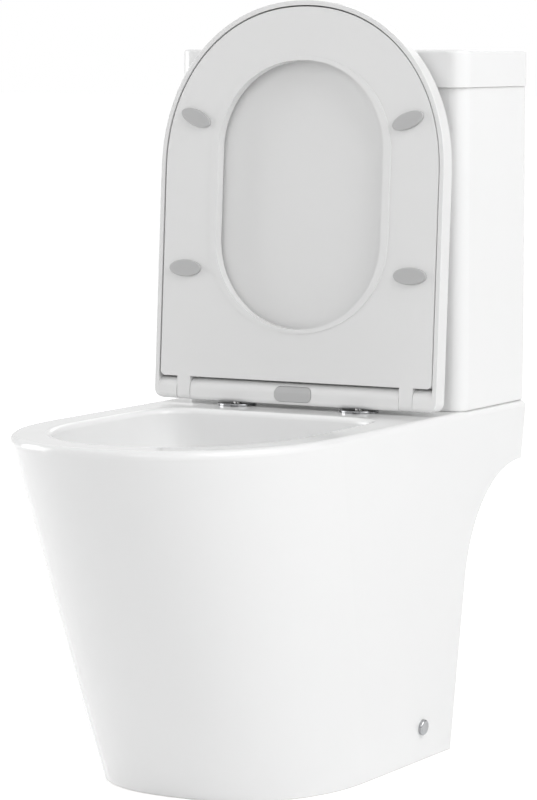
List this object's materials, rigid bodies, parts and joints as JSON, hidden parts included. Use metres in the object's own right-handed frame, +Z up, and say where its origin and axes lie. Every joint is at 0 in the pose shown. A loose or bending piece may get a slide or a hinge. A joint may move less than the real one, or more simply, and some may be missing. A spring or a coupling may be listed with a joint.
{
  "type": "close-coupled toilet",
  "caption": "Close-coupled toilet in white glazed china: tapered pan, cistern with lift-off lid and dual flush button, and soft-close seat and cover shown raised.",
  "frame": {"origin": "on the floor, at the centre of the object's footprint box: half way across, and half way between the wall plane and the rim's front tip", "axes": "+X to the user's right as they face the toilet, +Y back towards the wall, +Z up; the wall plane is at y = +0.3375"},
  "size_m": [0.373, 0.6749, 0.8668],
  "materials": {
    "glazed_china": null,
    "seat_plastic": "white moulded urea, satin gloss",
    "grey_pads": "mid-grey soft plastic",
    "polished_chrome": "polished chrome plating",
    "stainless_steel": "stainless steel, finely brushed",
    "yellow_brass": "plain turned brass",
    "black_rubber": "black moulded rubber",
    "white_moulding": "off-white moulded plastic",
    "blue_moulding": "blue moulded plastic",
    "grey_moulding": "light grey moulded plastic",
    "galvanised_steel": "zinc-plated pressed steel"
  },
  "bodies": {
    "toilet": {"pan": "glazed_china", "floor_brackets": "galvanised_steel", "side_screws": "stainless_steel", "cap_bases": "grey_moulding", "side_caps": "polished_chrome", "cistern_body": "glazed_china", "doughnut_seal": "black_rubber", "cistern_bolts": "yellow_brass", "bolt_washers": "black_rubber", "plate_washers": "stainless_steel", "bolt_wing_nuts": "white_moulding", "flush_valve_base": "white_moulding", "valve_gasket": "black_rubber", "valve_backnut": "white_moulding", "valve_tower": "white_moulding", "tower_cap": "white_moulding", "lever_pin": "stainless_steel", "overflow_pipe": "white_moulding", "fill_valve_body": "white_moulding", "fill_washer": "black_rubber", "fill_backnut": "white_moulding", "fill_cap": "blue_moulding", "arm_pin": "stainless_steel", "rosettes": "seat_plastic", "hinge_posts": "stainless_steel", "seat_cones": "black_rubber", "seat_wing_nuts": "white_moulding"},
    "seat_unit": {"hinge_bar": "seat_plastic", "soft_close_dampers": "grey_moulding", "hinge_pins": "stainless_steel", "release_spring": "stainless_steel"},
    "cover": {"seat_cover": "seat_plastic", "cover_pads": "grey_pads"},
    "seat": {"seat_ring": "seat_plastic", "seat_pads": "grey_pads"},
    "release": {"release_button": "grey_pads"},
    "lid": {"cistern_lid": "glazed_china", "button_housing": "polished_chrome", "housing_nut": "white_moulding", "full_flush_spring": "stainless_steel", "half_flush_spring": "stainless_steel"},
    "full_button": {"full_flush_button": "polished_chrome", "full_flush_rod": "grey_moulding"},
    "half_button": {"half_flush_button": "polished_chrome", "half_flush_rod": "grey_moulding"},
    "stem": {"valve_stem": "grey_moulding", "seal_disc": "black_rubber", "stem_float": "grey_moulding"},
    "lever": {"flush_lever": "blue_moulding"},
    "plunger": {"half_flush_plunger": "blue_moulding"},
    "float": {"fill_float": "grey_moulding"},
    "arm": {"float_arm": "white_moulding"}
  },
  "joints": [
    {"name": "seat_unit_lift", "type": "slide", "parent": "toilet", "child": "seat_unit", "axis": [0, 0, 1], "range_m": [0, 0.06]},
    {"name": "cover_hinge", "type": "hinge", "parent": "seat_unit", "child": "cover", "pos_m": [0, 0.1155, 0.417], "axis": [1, 0, 0], "range_deg": [0, 93.7]},
    {"name": "seat_hinge", "type": "hinge", "parent": "cover", "child": "seat", "pos_m": [0, 0.1155, 0.417], "axis": [-1, 0, 0], "range_deg": [-93.7, 0]},
    {"name": "release_press", "type": "slide", "parent": "seat_unit", "child": "release", "axis": [0, 1, 0], "range_m": [0, 0.0025], "stiffness_N_per_m": 900, "deforming": ["release_spring"]},
    {"name": "lid_lift", "type": "slide", "parent": "toilet", "child": "lid", "axis": [0, 0, 1], "range_m": [0, 0.3]},
    {"name": "full_flush_press", "type": "slide", "parent": "lid", "child": "full_button", "axis": [0, 0, -1], "range_m": [0, 0.008], "stiffness_N_per_m": 500, "deforming": ["full_flush_spring"]},
    {"name": "half_flush_press", "type": "slide", "parent": "lid", "child": "half_button", "axis": [0, 0, -1], "range_m": [0, 0.008], "stiffness_N_per_m": 500, "deforming": ["half_flush_spring"]},
    {"name": "stem_lift", "type": "slide", "parent": "toilet", "child": "stem", "axis": [0, 0, 1], "range_m": [0, 0.0111]},
    {"name": "lever_rock", "type": "hinge", "parent": "toilet", "child": "lever", "pos_m": [0.027, 0.2495, 0.658], "axis": [0, -1, 0], "range_deg": [0, 25]},
    {"name": "plunger_press", "type": "slide", "parent": "toilet", "child": "plunger", "axis": [0, 0, -1], "range_m": [0, 0.0081]},
    {"name": "float_rise", "type": "slide", "parent": "toilet", "child": "float", "axis": [0, 0, 1], "range_m": [0, 0.014]},
    {"name": "arm_swing", "type": "hinge", "parent": "toilet", "child": "arm", "pos_m": [-0.105, 0.2495, 0.699], "axis": [0, 1, 0], "range_deg": [0, 16.1]}
  ],
  "couplings": [
    {"joint": "stem_lift", "follows": "full_flush_press", "ratio": 1.375},
    {"joint": "lever_rock", "follows": "full_flush_press", "rad_per_m": 53.75},
    {"joint": "plunger_press", "follows": "half_flush_press", "ratio": 1},
    {"joint": "arm_swing", "follows": "float_rise", "rad_per_m": 19.871}
  ]
}
